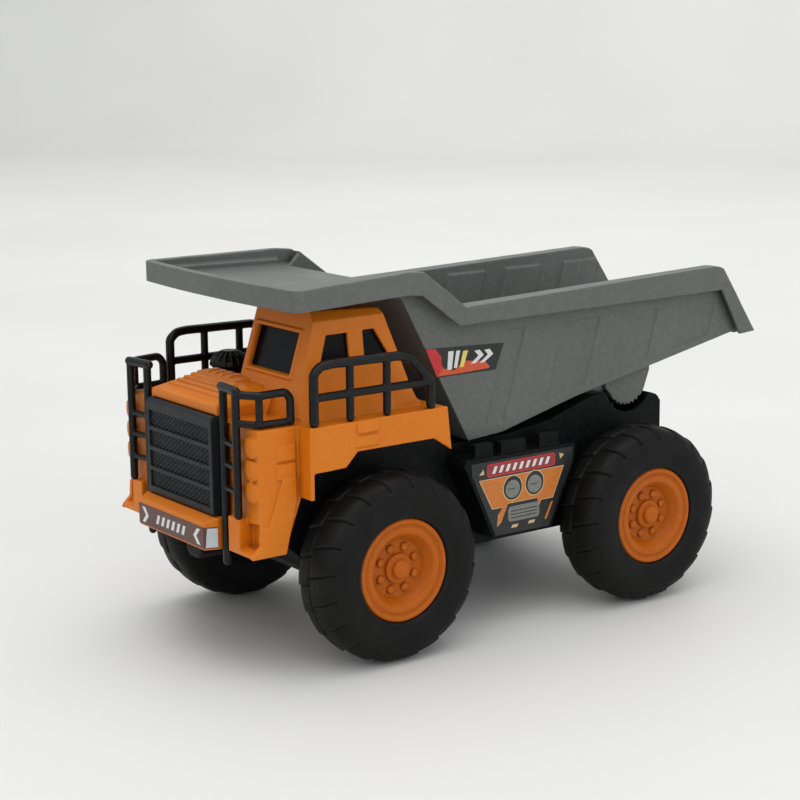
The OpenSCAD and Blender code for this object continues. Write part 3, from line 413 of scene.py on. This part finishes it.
def lug_depth(theta, u, r):
    """Depth of the tread in mm below its crest: two staggered rows of broad lugs, each stepped down to the next."""
    low_r, reach = 34.4, 1.0
    if r < low_r:
        return 0.0
    a = abs(u)
    row = 0.5 if u > 0 else 0.0
    slant = 0.022 * (a - 6.0) * (1 if u > 0 else -1)
    phase = (theta * LUGS / (2 * math.pi) + row + slant) % 1.0
    groove, wall = 0.085, 0.025
    if phase < groove:
        depth = 1.25 * min(1.0, phase / wall, (groove - phase) / wall + 0.45)
    else:
        depth = 0.75 * (1.0 - (phase - groove) / (1 - groove)) ** 1.25
    # a shallow seam between the rows, deepest beside each groove
    if a < 1.1:
        depth = max(depth, 0.85 * min(1.0, (1.1 - a) / 0.4))
    return depth * min(1.0, (r - low_r) / reach)


def tyre_mesh():
    prof = tyre_profile()
    n = LUGS * RINGS_PER_LUG
    bm = bmesh.new()
    rings = []
    for x, r, u in prof:
        # relief runs along the surface normal: radial on the crown, sideways on the shoulder
        tilt = min(1.0, max(0.0, (abs(u) - 8.0) / 5.0))
        ring = []
        for k in range(n):
            th = 2 * math.pi * k / n
            h = lug_depth(th, u, r)
            rr = r - h * (1 - 0.55 * tilt)
            xx = x - math.copysign(h * 0.75 * tilt, u)
            ring.append(bm.verts.new((xx * MM, rr * math.cos(th) * MM, rr * math.sin(th) * MM)))
        rings.append(ring)
    # the last ring joins the first, which closes the carcass at the bead
    for a, b in zip(rings, rings[1:] + rings[:1]):
        for k in range(n):
            bm.faces.new((a[k], a[(k + 1) % n], b[(k + 1) % n], b[k]))
    bmesh.ops.recalc_face_normals(bm, faces=bm.faces)
    me = bpy.data.meshes.new("tyre")
    bm.to_mesh(me)
    bm.free()
    smooth(me)
    me.set_sharp_from_angle(angle=math.radians(38))
    return me


def turned_mesh(name, profile, n=144):
    """Profile of (radius, x) in mm turned round the X axis. Points on the axis close the ends."""
    bm = bmesh.new()
    rings = []
    for r, x in profile:
        if r < 1e-6:
            rings.append([bm.verts.new((x * MM, 0, 0))])
        else:
            rings.append([bm.verts.new((x * MM, r * math.cos(2 * math.pi * k / n) * MM,
                                        r * math.sin(2 * math.pi * k / n) * MM)) for k in range(n)])
    for a, b in zip(rings, rings[1:] + [rings[0]]):
        for k in range(n):
            j = (k + 1) % n
            if len(a) == 1 and len(b) == 1:
                continue
            if len(a) == 1:
                bm.faces.new((a[0], b[j], b[k]))
            elif len(b) == 1:
                bm.faces.new((a[k], a[j], b[0]))
            else:
                bm.faces.new((a[k], a[j], b[j], b[k]))
    bmesh.ops.recalc_face_normals(bm, faces=bm.faces)
    me = bpy.data.meshes.new(name)
    bm.to_mesh(me)
    bm.free()
    smooth(me)
    return me


def eased(profile, radius):
    """Profile with each corner replaced by a short arc."""
    out, n = [], len(profile)
    for i, b in enumerate(profile):
        if b[0] < 1e-6:
            out.append(b)
            continue
        a, c = Vector(profile[i - 1]), Vector(profile[(i + 1) % n])
        v = Vector(b)
        u, w = a - v, c - v
        cut = min(radius, u.length * 0.45, w.length * 0.45)
        s, e = v + u.normalized() * cut, v + w.normalized() * cut
        for t in (0.0, 0.33, 0.67, 1.0):
            out.append(tuple(s.lerp(v, t).lerp(v.lerp(e, t), t)))
    return out


RIM_DISC_X = 64.9
BOSS_COUNT, BOSS_CIRCLE, BOSS_R, BOSS_HEIGHT = 8, 9.3, 1.8, 1.3


def rim_profile():
    hub_cap = [(0, 69.0), (3.3, 69.0), (4.05, 68.3), (4.05, 66.9), (5.7, 66.9), (6.4, 66.3)]
    disc_and_cone = [(6.4, RIM_DISC_X), (12.2, RIM_DISC_X), (12.5, 65.4), (15.2, 69.5)]
    lip = [(16.0, 70.0), (17.9, 70.0), (18.5, 69.5), (19.2, 69.5), (19.8, 70.4), (21.2, 70.4), (21.95, 69.6)]
    back = [(21.95, 58.2), (20.6, 58.2), (20.6, 66.9), (17.0, 67.4), (13.9, 63.2)]
    tube = [(5.0, 63.2), (5.0, 43.8), (2.1, 43.8), (2.1, 63.2), (0, 63.2)]
    return eased(hub_cap + disc_and_cone + lip + back + tube, 0.42)


def bolt_mesh(bm, x, y, z, r, h):
    """A low domed boss facing +X."""
    prof = [(r + 0.35, 0.0), (r + 0.05, 0.12), (r, 0.4), (r, h - 0.4), (r * 0.86, h - 0.1), (r * 0.5, h + 0.08),
            (0, h + 0.12)]
    n = 20
    prev = None
    for pr, px in prof:
        if pr == 0:
            tip = bm.verts.new(((x + px) * MM, y * MM, z * MM))
            for k in range(n):
                bm.faces.new((prev[k], prev[(k + 1) % n], tip))
            break
        ring = [bm.verts.new(((x + px) * MM, (y + pr * math.cos(2 * math.pi * k / n)) * MM,
                              (z + pr * math.sin(2 * math.pi * k / n)) * MM)) for k in range(n)]
        if prev:
            for k in range(n):
                bm.faces.new((prev[k], prev[(k + 1) % n], ring[(k + 1) % n], ring[k]))
        else:
            bm.faces.new(list(reversed(ring)))
        prev = ring


def rim_mesh():
    me = turned_mesh("rim", rim_profile())
    bm = bmesh.new()
    bm.from_mesh(me)
    for i in range(BOSS_COUNT):
        a = math.radians(360 / BOSS_COUNT * (i + 0.5))
        bolt_mesh(bm, RIM_DISC_X - 0.2, BOSS_CIRCLE * math.cos(a), BOSS_CIRCLE * math.sin(a), BOSS_R, BOSS_HEIGHT)
    bmesh.ops.recalc_face_normals(bm, faces=bm.faces)
    bm.to_mesh(me)
    bm.free()
    smooth(me)
    return me


# each tyre stands at its own angle, so their lugs don't line up
TYRE_TURN = {"front_left": 4, "front_right": 11, "rear_left": 7, "rear_right": 2}
tyre = tyre_mesh()
rim = rim_mesh()
for where, y, body in (("front", FRONT_Y, "front_axle"), ("rear", REAR_Y, "rear_axle")):
    for side, sx in (("left", 1), ("right", -1)):
        tag = where + "_" + side
        turn = Matrix.Rotation(math.radians(TYRE_TURN[tag]), 4, "X")
        for kind, mesh, mat, slot in (("tyre", tyre, TYRE, "tyre_black"),
                                      ("rim", rim, SHADED_RIM_ORANGE, "orange_plastic")):
            me = mesh.copy() if sx > 0 else mirrored(mesh, kind)
            spin = turn if kind == "tyre" else Matrix.Identity(4)
            me.transform(Matrix.Translation(at(0, y, AXLE_Z)) @ spin)
            o = link(kind + "_piece_" + tag, me, [mat])
            finish_piece(o, body, slot, kind + "_" + tag)
        hub = NODES["inner_hub_" + tag]
        hub.data.materials.clear()
        hub.data.materials.append(BLACK)


# ---------------------------------------------------------------- moulded bodies

moulded("dump_body_moulding", "dump_body", 0.36, 3, 170000, GREY, "dump_body", "grey_plastic")
moulded("cab_moulding", "cab_shell", 0.34, 3, 180000, ORANGE, "chassis", "orange_plastic")
moulded("chassis_moulding", "chassis_frame", 0.5, 3, 80000, BLACK, "chassis", "black_plastic")
for side in ("left", "right"):
    moulded("tank_panel_" + side, "side_panel_" + side, 0.35, 3, 30000, BLACK, "chassis", "black_plastic")
moulded("air_cleaner_moulding", "air_cleaner", 0.25, 3, 16000, GLOSS_BLACK, "chassis", "black_plastic")


# ---------------------------------------------------------------- guards and rails

def guard_paths():
    top, foot = 118.6, 105.2
    inner, outer = (30.75, -136.3), (42.6, -137.8)
    corner, rear = (50.2, -131.6), (50.8, -117.3)
    paths = [
        (3.5, [(*inner, 46.0), (*inner, top)]),
        (3.5, [(*outer, 67.8), (*outer, top)]),
        (3.9, [(29.4, -136.2, top - 0.2), (43.2, -137.9, top - 0.2)]),
        (3.4, [(*outer, top - 1), (44.8, -136.0, 117), (50.1, -131.4, 116.9), (50.8, -119.6, 117.2),
               (50.8, -117.3, 114.4), (*rear, foot)]),
        (3.1, [(*corner, 116.8), (*corner, foot)]),
        (3.0, [(*outer, foot + 0.3), (*corner, foot), (*rear, foot)]),
    ]
    return paths + [(2.5, [(*inner, z), (*outer, z)]) for z in (96, 87, 77)]


def rail_paths(x, drop):
    top, foot = 127.4 - drop, 104.9
    paths = [
        (4.0, [(x, -112.2, foot), (x, -112.2, top - 2.8), (x, -108.8, top + 0.1), (x, -104, top + 0.6),
               (x, -70.2, top), (x, -64.8, top - 1.6), (x, -54.2, top - 12.7), (x, -54.2, foot)]),
        (3.5, [(x, -112.2, top - 12.4), (x, -54.2, top - 12.5)]),
    ]
    return paths + [(3.4, [(x, y, foot), (x, y, top - 0.2)]) for y in (-94.7, -76.5)]


TUBES = {
    "front_guard_left": (guard_paths(), False), "front_guard_right": (guard_paths(), True),
    "side_rail_left": (rail_paths(60, 0), False), "side_rail_right": (rail_paths(53, 1.2), True),
}
for name, (paths, far_side) in TUBES.items():
    me = tube_mesh(paths)
    if far_side:
        me = mirrored(me, name)
    moulded(name + "_moulding", me, 0.28, 3, 26000, GLOSS_BLACK, "chassis", "black_plastic", name)


# ---------------------------------------------------------------- grille

GRILLE_FLOOR_Y = -138.3


def mesh_height(x, z):
    """Relief in mm of a diamond wire mesh whose two sets of wires pass over and under each other."""
    a, b = x / 3.1 + z / 2.4, x / 3.1 - z / 2.4
    over = 0.5 + 0.5 * math.cos(math.pi * (round(a) + round(b)))
    height = 0.0
    for t, lift in ((a, over), (b, 1 - over)):
        off = abs(t - round(t)) / 0.27
        if off < 1:
            height = max(height, (0.42 + 0.22 * lift) * math.sqrt(1 - off * off))
    return height


def grille_mesh():
    bm = bmesh.new()
    step = 0.24
    half, rise, pitch = 24.4, 7.1, 8.7
    cols, rows = int(2 * half / step), int(rise / step)
    for i in range(4):
        z0 = 67.5 + pitch * i
        grid = [[bm.verts.new(at(-half + 2 * half * c / cols, GRILLE_FLOOR_Y - 0.1 - mesh_height(
                    -half + 2 * half * c / cols, rise * r / rows), z0 + rise * r / rows))
                 for c in range(cols + 1)] for r in range(rows + 1)]
        for low, high in zip(grid, grid[1:]):
            for c in range(cols):
                bm.faces.new((low[c], low[c + 1], high[c + 1], high[c]))
        loop = grid[0] + [r[-1] for r in grid[1:-1]] + grid[-1][::-1] + [r[0] for r in grid[-2:0:-1]]
        back = [bm.verts.new((v.co.x, at(0, GRILLE_FLOOR_Y + 0.25, 0).y, v.co.z)) for v in loop]
        for k in range(len(loop)):
            j = (k + 1) % len(loop)
            bm.faces.new((loop[k], back[k], back[j], loop[j]))
        bm.faces.new(back)
    bmesh.ops.recalc_face_normals(bm, faces=bm.faces)
    me = bpy.data.meshes.new("grille_mesh")
    bm.to_mesh(me)
    bm.free()
    smooth(me)
    return me


moulded("grille_frame", "radiator_grille", 0.26, 2, 40000, SLATE, "chassis", "slate_plastic")
finish_piece(link("grille_wire_mesh", grille_mesh(), [SLATE]), "chassis", "slate_plastic")


# ---------------------------------------------------------------- printed stickers

def round_box(y0, y1, z0, z1, r):
    """Outline of a rectangle with round corners."""
    out = []
    for q, (cy, cz) in enumerate(((y1 - r, z1 - r), (y0 + r, z1 - r), (y0 + r, z0 + r), (y1 - r, z0 + r))):
        out += [(cy + r * math.cos(math.radians(90 * q + a)), cz + r * math.sin(math.radians(90 * q + a)))
                for a in (0, 22.5, 45, 67.5, 90)]
    return out


def disc(cy, cz, r, tall=1.0):
    turns = [2 * math.pi * k / 36 for k in range(36)]
    return [(cy + r * math.cos(a), cz + r * tall * math.sin(a)) for a in turns]


def slanted(cy, cz, w, h, lean):
    """A slanted bar, as used for hazard stripes."""
    d = lean * h / 2
    return [(cy - w / 2 - d, cz - h / 2), (cy + w / 2 - d, cz - h / 2), (cy + w / 2 + d, cz + h / 2),
            (cy - w / 2 + d, cz + h / 2)]


def chevron(cy, cz, w, h, t):
    """An arrow head that points to +Y when w is positive."""
    return [(cy - w / 2, cz - h / 2), (cy - w / 2 + t, cz - h / 2), (cy + w / 2, cz), (cy - w / 2 + t, cz + h / 2),
            (cy - w / 2, cz + h / 2), (cy + w / 2 - t, cz)]


def sticker(name, cad_node, slot, body, place, layers):
    """Ink layers as thin plates, each a little prouder than the one under it.

    place turns (u, v, height) into a point.
    """
    bm = bmesh.new()
    inks = []
    for ink, height, outlines in layers:
        if ink not in inks:
            inks.append(ink)
        for outline in outlines:
            low = [bm.verts.new(place(u, v, max(0.0, height - 0.09))) for u, v in outline]
            high = [bm.verts.new(place(u, v, height)) for u, v in outline]
            faces = [bm.faces.new(low), bm.faces.new(high[::-1])]
            for k in range(len(outline)):
                j = (k + 1) % len(outline)
                faces.append(bm.faces.new((low[k], high[k], high[j], low[j])))
            for f in faces:
                f.material_index = inks.index(ink)
    bmesh.ops.recalc_face_normals(bm, faces=bm.faces)
    me = bpy.data.meshes.new(name)
    bm.to_mesh(me)
    bm.free()
    finish_piece(link(name, me, inks), body, slot, cad_node)


def body_art():
    """A black band with a red block, an orange swoosh, and white and yellow bars: no lettering."""
    tl, tr, br, bl = (-45.6, 125.1), (-3.2, 123.2), (-7.6, 112.0), (-39.6, 112.2)

    def spot(u, v):
        return tuple((1 - v) * ((1 - u) * tl[i] + u * tr[i]) + v * ((1 - u) * bl[i] + u * br[i]) for i in (0, 1))

    def shape(*uv):
        return [spot(u, v) for u, v in uv]

    bars = [shape((u, 0.66 - d), (u + w, 0.66 - d), (u + w + 0.075, 0.14), (u + 0.075, 0.14))
            for u, w, d in ((0.20, 0.07, -0.12), (0.305, 0.05, -0.08), (0.50, 0.045, 0.04))]
    arrows = [shape((u, 0.20), (u + 0.07, 0.18), (u + 0.135, 0.38), (u + 0.02, 0.66), (u - 0.05, 0.66),
                    (u + 0.06, 0.39)) for u in (0.62, 0.755)]
    return [
        (INK_BLACK, 0.16, [[tl, tr, br, bl]]),
        (INK_RED, 0.20, [shape((0.005, 0.01), (0.12, 0.01), (0.165, 0.30), (0.14, 0.60), (0.20, 0.94),
                               (0.005, 0.97))]),
        (INK_SCARLET, 0.22, [shape((0.02, 0.95), (0.13, 0.70), (0.30, 0.83), (0.47, 0.52), (0.78, 0.62),
                                   (0.875, 0.84), (0.87, 0.90), (0.34, 0.955))]),
        (INK_WHITE, 0.25, [bars[0], bars[1]] + arrows),
        (INK_YELLOW, 0.25, [shape((0.395, 0.74), (0.455, 0.73), (0.535, 0.16), (0.47, 0.17))]),
    ]


def panel_art():
    ground = [(-29, 74.6), (28.2, 74.6), (28.2, 68.6), (14.6, 40.6), (-15.6, 41), (-28.6, 69.5)]
    trapeze = [(-24.4, 66.6), (22.4, 66.6), (16.3, 53.4), (9.6, 53.4), (8.2, 50.2), (7.6, 54.6), (-8.8, 54.6),
               (-12.2, 47.4), (-14.6, 45.6), (-14.0, 50.6), (-11.6, 53.4), (-17.3, 53.4)]
    dials = [(-6.3, 61.1), (6.1, 61.5)]
    lines = [round_box(-7.4, 7.4, z, z + 0.45, 0.2) for z in (47.4, 48.9, 50.4)]
    return [
        (INK_BLACK, 0.16, [ground]),
        (INK_CREAM, 0.19, [[(y * 1.022, 60 + (z - 60) * 1.045) for y, z in trapeze],
                           [(-24.8, 69.2), (-22.0, 69.3), (-22.5, 71.6)],
                           [(20.2, 72.8), (23.0, 71.8), (20.8, 70.0)]]),
        (INK_RED, 0.19, [round_box(-20.5, 17.8, 67.6, 73.4, 1.3)]),
        (INK_ORANGE, 0.21, [trapeze, slanted(14.3, 47.8, 1.2, 7.4, 0.5)]),
        (INK_MAROON, 0.21, [round_box(-19.9, 17.2, 68.2, 72.8, 1.0)]),
        (INK_WHITE, 0.24, [slanted(-16.2 + 3.7 * i, 70.5, 1.7, 3.1, 0.45) for i in range(9)]),
        (INK_CREAM, 0.23, [disc(y, z, 5.5, 1.04) for y, z in dials] + [slanted(-5.1, 43.8, 3.4, 1.3, 0.6),
                                                                      slanted(4.5, 44.2, 3.4, 1.3, 0.6)]),
        (INK_BLACK, 0.25, [disc(y, z, 5.1, 1.04) for y, z in dials]),
        (INK_GREY, 0.27, [disc(y, z - 0.5, 4.0) for y, z in dials] + [round_box(-8.8, 8.8, 46.0, 52.8, 1.6)]),
        (INK_BLACK, 0.29, lines + [round_box(y - 2.6, y + 1.6, z - 0.6, z - 0.25, 0.15) for y, z in dials]),
    ]


def bumper_art():
    front = [(-26.5, 51.6), (26.5, 51.6), (26.5, 60.4), (-26.5, 60.4)]
    return [
        (INK_BROWN, 0.20, [front]),
        (INK_WHITE, 0.26, [chevron(-21.2, 56, 5.5, 6.6, 2.4), chevron(21.2, 56, -5.5, 6.6, -2.4)]
         + [slanted(-10.5 + 4.2 * i, 56, 2.0, 4.0, 0.4) for i in range(6)]),
    ]


for side, sx in (("left", 1), ("right", -1)):
    sticker("body_sticker_" + side, "body_decal_" + side, "sticker_body", "dump_body",
            lambda u, v, h, sx=sx: at(sx * (45.0 + h), u, v), body_art())
    sticker("panel_sticker_" + side, "side_panel_decal_" + side, "sticker_panel", "chassis",
            lambda u, v, h, sx=sx: at(sx * (55.0 + h), u, v), panel_art())

BUMPER_Y = -144.6
sticker("bumper_sticker_front", "bumper_band", "sticker_bumper", "chassis",
        lambda u, v, h: at(u, BUMPER_Y - h, v), bumper_art())
for side, sx in (("left", 1), ("right", -1)):
    # the band turns the corner on to the bumper's end face
    run, out = Vector((2.3, 5.4)), Vector((5.4, -2.3)).normalized()

    def end_face(u, v, h, sx=sx):
        p = Vector((26.6, BUMPER_Y)) + run * u + out * h
        return at(sx * p.x, p.y, v)

    sticker("bumper_sticker_" + side, "bumper_band", "sticker_bumper", "chassis", end_face, [
        (INK_BROWN, 0.20, [[(-0.02, 51.6), (0.98, 51.6), (0.98, 60.4), (-0.02, 60.4)]]),
        (INK_SILVER, 0.26, [[(0.10, 52.0), (0.96, 52.0), (0.96, 60.0), (0.22, 60.0)]]),
    ])


# ---------------------------------------------------------------- carried-over CAD nodes

CARRIED = {
    "chassis_bottom_cover": BLACK, "cab_windows": WINDOW, "detent_tongues": BLACK,
    "motor_case_left": MOTOR, "motor_case_right": MOTOR, "chassis_screws": STEEL, "motor_screws": STEEL,
    "front_axle_shaft": STEEL,
    "rear_axle_shaft": STEEL, "axle_gear": NYLON, "idler_gear": NYLON, "idler_shaft": STEEL, "flywheel": STEEL,
    "flywheel_pinion": NYLON, "flywheel_shaft": STEEL,
}
for name, m in CARRIED.items():
    NODES[name].data.materials.clear()
    NODES[name].data.materials.append(m)


# ---------------------------------------------------------------- floor, light and camera

def studio():
    m, nt, bsdf = new_material("studio_floor")
    co = nt.nodes.new("ShaderNodeTexCoord").outputs["Object"]
    n = node(nt, "ShaderNodeTexNoise", Scale=3.0, Detail=2.0)
    nt.links.new(co, n.inputs["Vector"])
    paper = ramp(nt, n.outputs["Fac"], [(0.3, (0.71, 0.705, 0.68)), (0.7, (0.75, 0.745, 0.72))])
    nt.links.new(paper, bsdf.inputs["Base Color"])
    bsdf.inputs["Roughness"].default_value = 0.55
    bm = bmesh.new()
    # a floor that sweeps up into a wall far behind the truck
    far = Vector((-0.5906, 0.807, 0))  # along the view, on the floor
    side = Vector((0.807, 0.5906, 0))
    rows = []
    path = [(-2.2, 0.0), (2.3, 0.0)]
    path += [(2.3 + 0.5 * math.sin(a), 0.5 - 0.5 * math.cos(a)) for a in [math.radians(6 * k) for k in range(1, 16)]]
    path += [(2.8, 2.6)]
    for d, z in path:
        rows.append([bm.verts.new(far * d + side * s + Vector((0, 0, z - 0.00005))) for s in (-4.0, 4.0)])
    for a, b in zip(rows, rows[1:]):
        bm.faces.new((a[0], a[1], b[1], b[0]))
    bmesh.ops.recalc_face_normals(bm, faces=bm.faces)
    me = bpy.data.meshes.new("studio_sweep")
    bm.to_mesh(me)
    bm.free()
    smooth(me)
    o = link("studio_sweep", me, [m])


studio()

world = bpy.data.worlds.new("studio")
bpy.context.scene.world = world
world.use_nodes = True
world.node_tree.nodes["Background"].inputs["Color"].default_value = (0.93, 0.96, 1.0, 1)
world.node_tree.nodes["Background"].inputs["Strength"].default_value = 0.66


def softbox(name, where, aim, size, power, colour=(1, 1, 1)):
    light = bpy.data.lights.new(name, "AREA")
    light.shape = "RECTANGLE"
    light.size, light.size_y = size
    light.energy = power
    light.color = colour
    o = bpy.data.objects.new(name, light)
    bpy.context.scene.collection.objects.link(o)
    o.location = where
    o.rotation_euler = (Vector(aim) - Vector(where)).to_track_quat("-Z", "Y").to_euler()
    return o


softbox("key_softbox", (0.95, -0.95, 1.35), (0, 0, 0.08), (1.4, 1.4), 6.4, (1.0, 0.985, 0.96))
softbox("fill_softbox", (1.5, 0.5, 0.7), (0, 0, 0.08), (1.2, 0.9), 3.0, (0.96, 0.98, 1.0))
softbox("top_softbox", (-0.2, 0.1, 1.7), (0, 0, 0.0), (1.9, 1.9), 18.5)
softbox("backdrop_softbox", (-1.15, 0.95, 1.6), (-2.0, 1.85, 0.35), (2.2, 0.8), 12.5)

centre_y = (cad_low.y + cad_high.y) / 2
target = Vector((0.0, centre_y - 0.02741, 0.08713))
azimuth, elevation, distance = math.radians(53.78), math.radians(12.08), 0.88547
cam_data = bpy.data.cameras.new("camera")
cam = bpy.data.objects.new("camera", cam_data)
bpy.context.scene.collection.objects.link(cam)
back = Vector((math.sin(azimuth) * math.cos(elevation), -math.cos(azimuth) * math.cos(elevation),
               math.sin(elevation)))
cam.location = target + back * distance
turn = (-back).to_track_quat("-Z", "Y").to_matrix().to_4x4()
cam.rotation_euler = (turn @ Matrix.Rotation(math.radians(-0.56), 4, "Z")).to_euler()
cam_data.lens = 89.1
cam_data.sensor_width = 36.0
cam_data.shift_y = 0.0178
cam_data.clip_start, cam_data.clip_end = 0.05, 30
bpy.context.scene.camera = cam
bpy.context.scene.view_settings.view_transform = "Standard"
